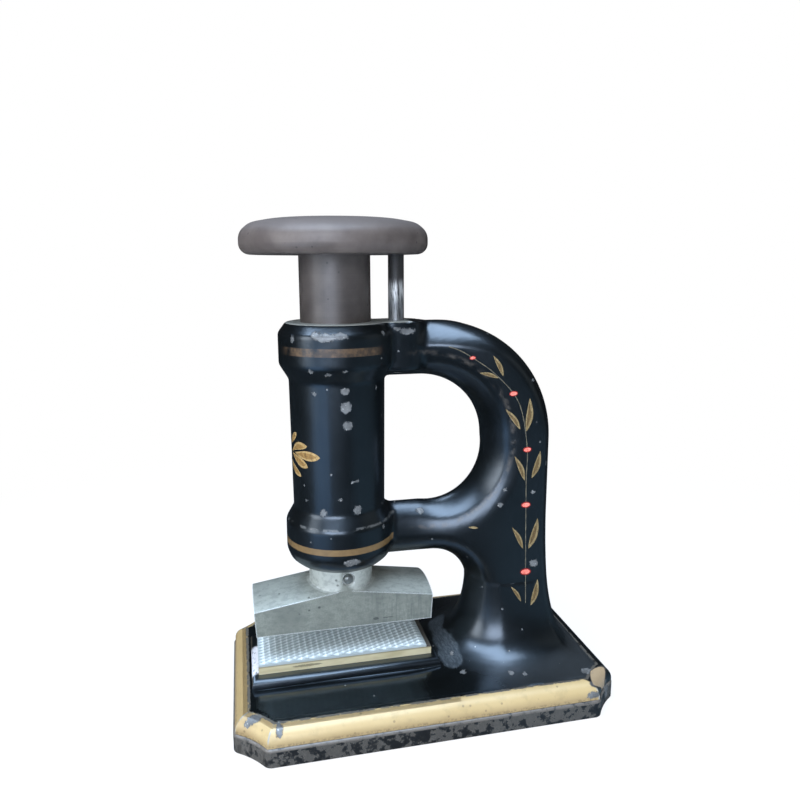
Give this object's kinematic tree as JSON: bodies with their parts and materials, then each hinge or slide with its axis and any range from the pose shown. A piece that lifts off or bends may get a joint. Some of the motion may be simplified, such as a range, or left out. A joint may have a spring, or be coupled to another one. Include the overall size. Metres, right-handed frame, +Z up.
{
  "type": "check writer",
  "caption": "Knob-driven desk press that crimps a slip of paper between two waffle dies, on a D-armed cast-iron frame with a spring-returned plunger and guide rod.",
  "frame": {"origin": "middle of the base's underside, on the surface the machine stands on", "axes": "+X along the base from the dies to the column, +Y away from the operator's side, +Z up along the plunger"},
  "size_m": [0.138, 0.083, 0.1747],
  "materials": {
    "japanned_iron": "gloss black japan with gold stripes, worn to bare iron at the edges",
    "browned_iron": "browned, turned, satin",
    "head_iron": "bare machined grey, satin",
    "die_steel": "hardened waffle-cut steel",
    "bright_steel": "bright turned steel",
    "guide_steel": "darkened, rubbed bright where it runs",
    "spring_steel": "oiled spring wire",
    "brass": "dulled brass",
    "bronze": "turned bronze",
    "leather": "oiled leather"
  },
  "bodies": {
    "frame": {"frame_casting": "japanned_iron", "die_bed": "brass", "lower_die": "die_steel", "lower_die_screws": "bright_steel", "plunger_bush": "bronze", "bush_set_screw": "bright_steel", "lower_spring_washer": "bright_steel", "return_spring": "spring_steel"},
    "plunger": {"upper_spring_washer": "bright_steel", "plunger_stem": "browned_iron", "stem_pin": "bright_steel", "plunger_rod": "bright_steel", "knob": "browned_iron", "guide_rod": "guide_steel", "die_head": "head_iron", "head_cross_pin": "bright_steel", "return_buffer": "leather", "upper_die": "die_steel", "upper_die_screws": "bright_steel"}
  },
  "joints": [
    {"name": "plunger_slide", "type": "slide", "parent": "frame", "child": "plunger", "axis": [0, 0, -1], "range_m": [0, 0.0096], "stiffness_N_per_m": 1830, "springref_m": -0.012, "deforming": ["return_spring"]}
  ]
}
